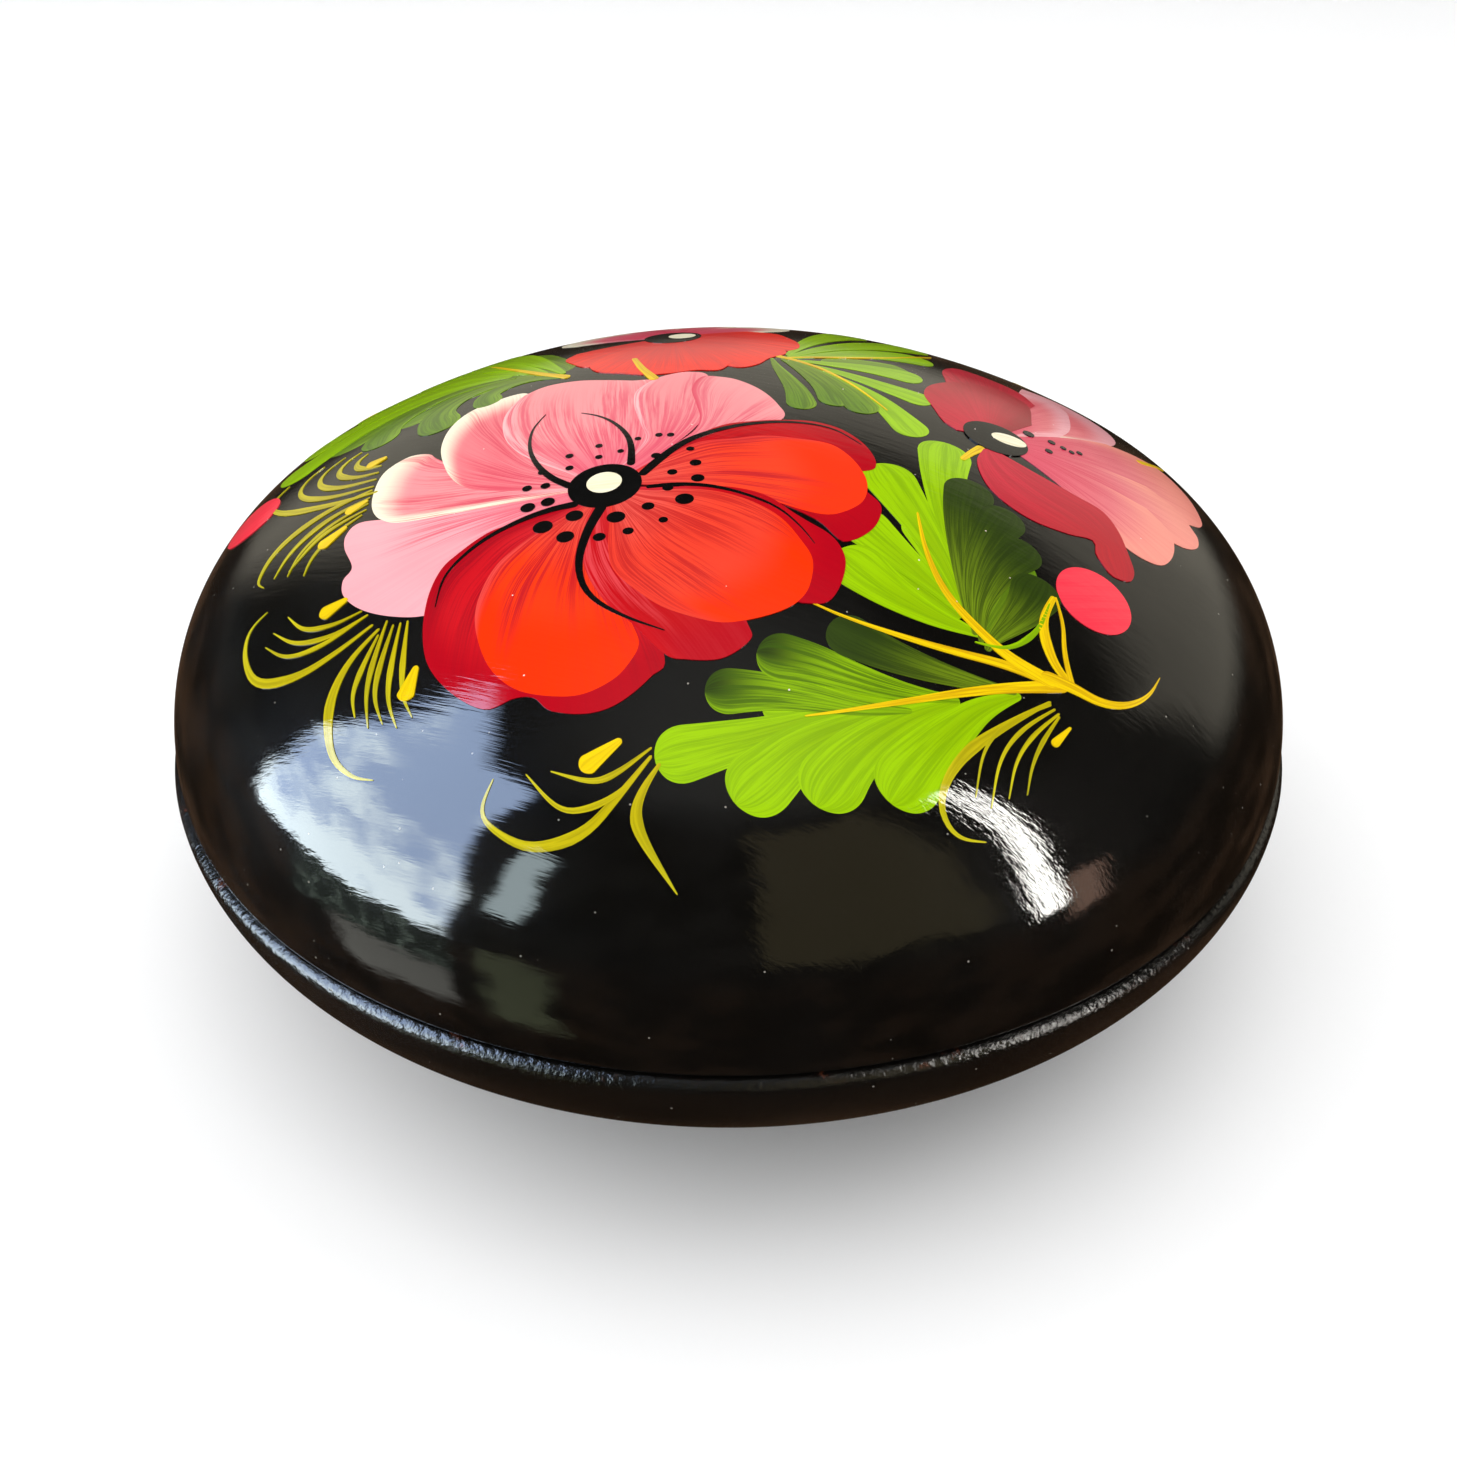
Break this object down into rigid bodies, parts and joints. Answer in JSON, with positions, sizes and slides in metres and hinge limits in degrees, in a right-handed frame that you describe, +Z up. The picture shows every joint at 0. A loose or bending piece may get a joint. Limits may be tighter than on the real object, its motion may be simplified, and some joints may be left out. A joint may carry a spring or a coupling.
{
  "type": "lidded round box",
  "caption": "Low round turned wooden box with a domed lift-off lid on a centring ring, black lacquer with painted flowers and leaves.",
  "frame": {"origin": "centre of the flat foot, on the surface the box stands on", "axes": "+Z up along the turning axis; -Y faces the viewer of the main flower; +X to that viewer's right"},
  "size_m": [0.172, 0.172, 0.0852],
  "materials": {
    "lacquered_wood": "gloss black lacquer",
    "pink_paint": "varnished brush paint",
    "crimson_paint": "varnished brush paint",
    "orange_paint": "varnished brush paint",
    "black_paint": "varnished brush paint",
    "cream_paint": "varnished brush paint",
    "light_green_paint": "varnished brush paint",
    "dark_green_paint": "varnished brush paint",
    "yellow_paint": "varnished brush paint",
    "coral_paint": "varnished brush paint"
  },
  "bodies": {
    "base": {"base": "lacquered_wood"},
    "lid": {"lid": "lacquered_wood", "main_pink_petals": "pink_paint", "main_crimson_petals": "crimson_paint", "main_orange_petals": "orange_paint", "side_pink_petals": "pink_paint", "side_crimson_petals": "crimson_paint", "back_pink_petals": "pink_paint", "back_crimson_petals": "crimson_paint", "flower_eyes": "black_paint", "flower_pips": "cream_paint", "light_leaves": "light_green_paint", "dark_leaves": "dark_green_paint", "yellow_stems": "yellow_paint", "yellow_sprays": "yellow_paint", "coral_buds": "coral_paint"}
  },
  "joints": [
    {"name": "lid_lift", "type": "slide", "parent": "base", "child": "lid", "axis": [0, 0, 1], "range_m": [0, 0.08]}
  ]
}
